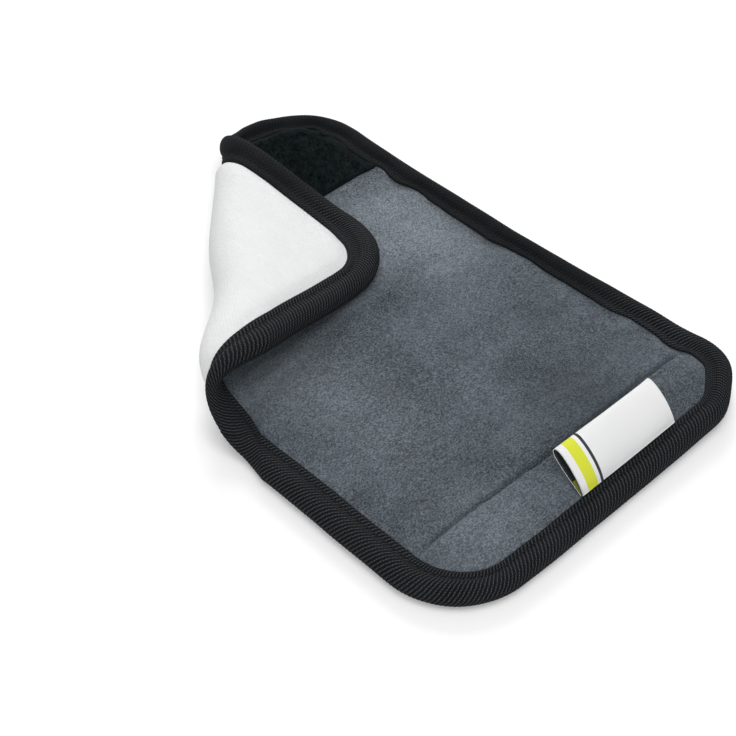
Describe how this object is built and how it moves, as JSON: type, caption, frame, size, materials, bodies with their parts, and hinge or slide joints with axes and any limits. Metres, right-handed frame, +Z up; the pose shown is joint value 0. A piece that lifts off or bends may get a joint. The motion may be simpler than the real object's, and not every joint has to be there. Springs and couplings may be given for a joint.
{
  "type": "seat belt shoulder pad",
  "caption": "Soft pad that wraps a seat belt at the shoulder: fleece face, bound edge, hook and loop closure, opened flat with a corner folded over.",
  "frame": {"origin": "middle of the pad's underside, on the plane it lies on, before the corner was folded", "axes": "+X along the belt, +Y the way the pad wraps round the belt, from the hook edge to the loop edge, +Z up out of the fleece side"},
  "size_m": [0.1225, 0.1879, 0.0213],
  "materials": {
    "lining": "smooth white knitted lining, matt",
    "foam": "soft laminated padding, never seen",
    "fleece": "brushed grey fleece with a short soft pile",
    "binding": "ribbed black twill tape, folded and stitched",
    "loop_tape": "fuzzy black loop pile",
    "hook_tape": "black hook field with plain woven borders",
    "label": "white woven ribbon with a plain yellow-green band and a dark line across one end"
  },
  "bodies": {
    "root": {"back_lining": "lining", "foam_padding": "foam", "front_cover": "fleece", "edge_binding": "binding", "loop_strip": "loop_tape", "hook_strip": "hook_tape", "fold_label": "label"}
  },
  "joints": []
}
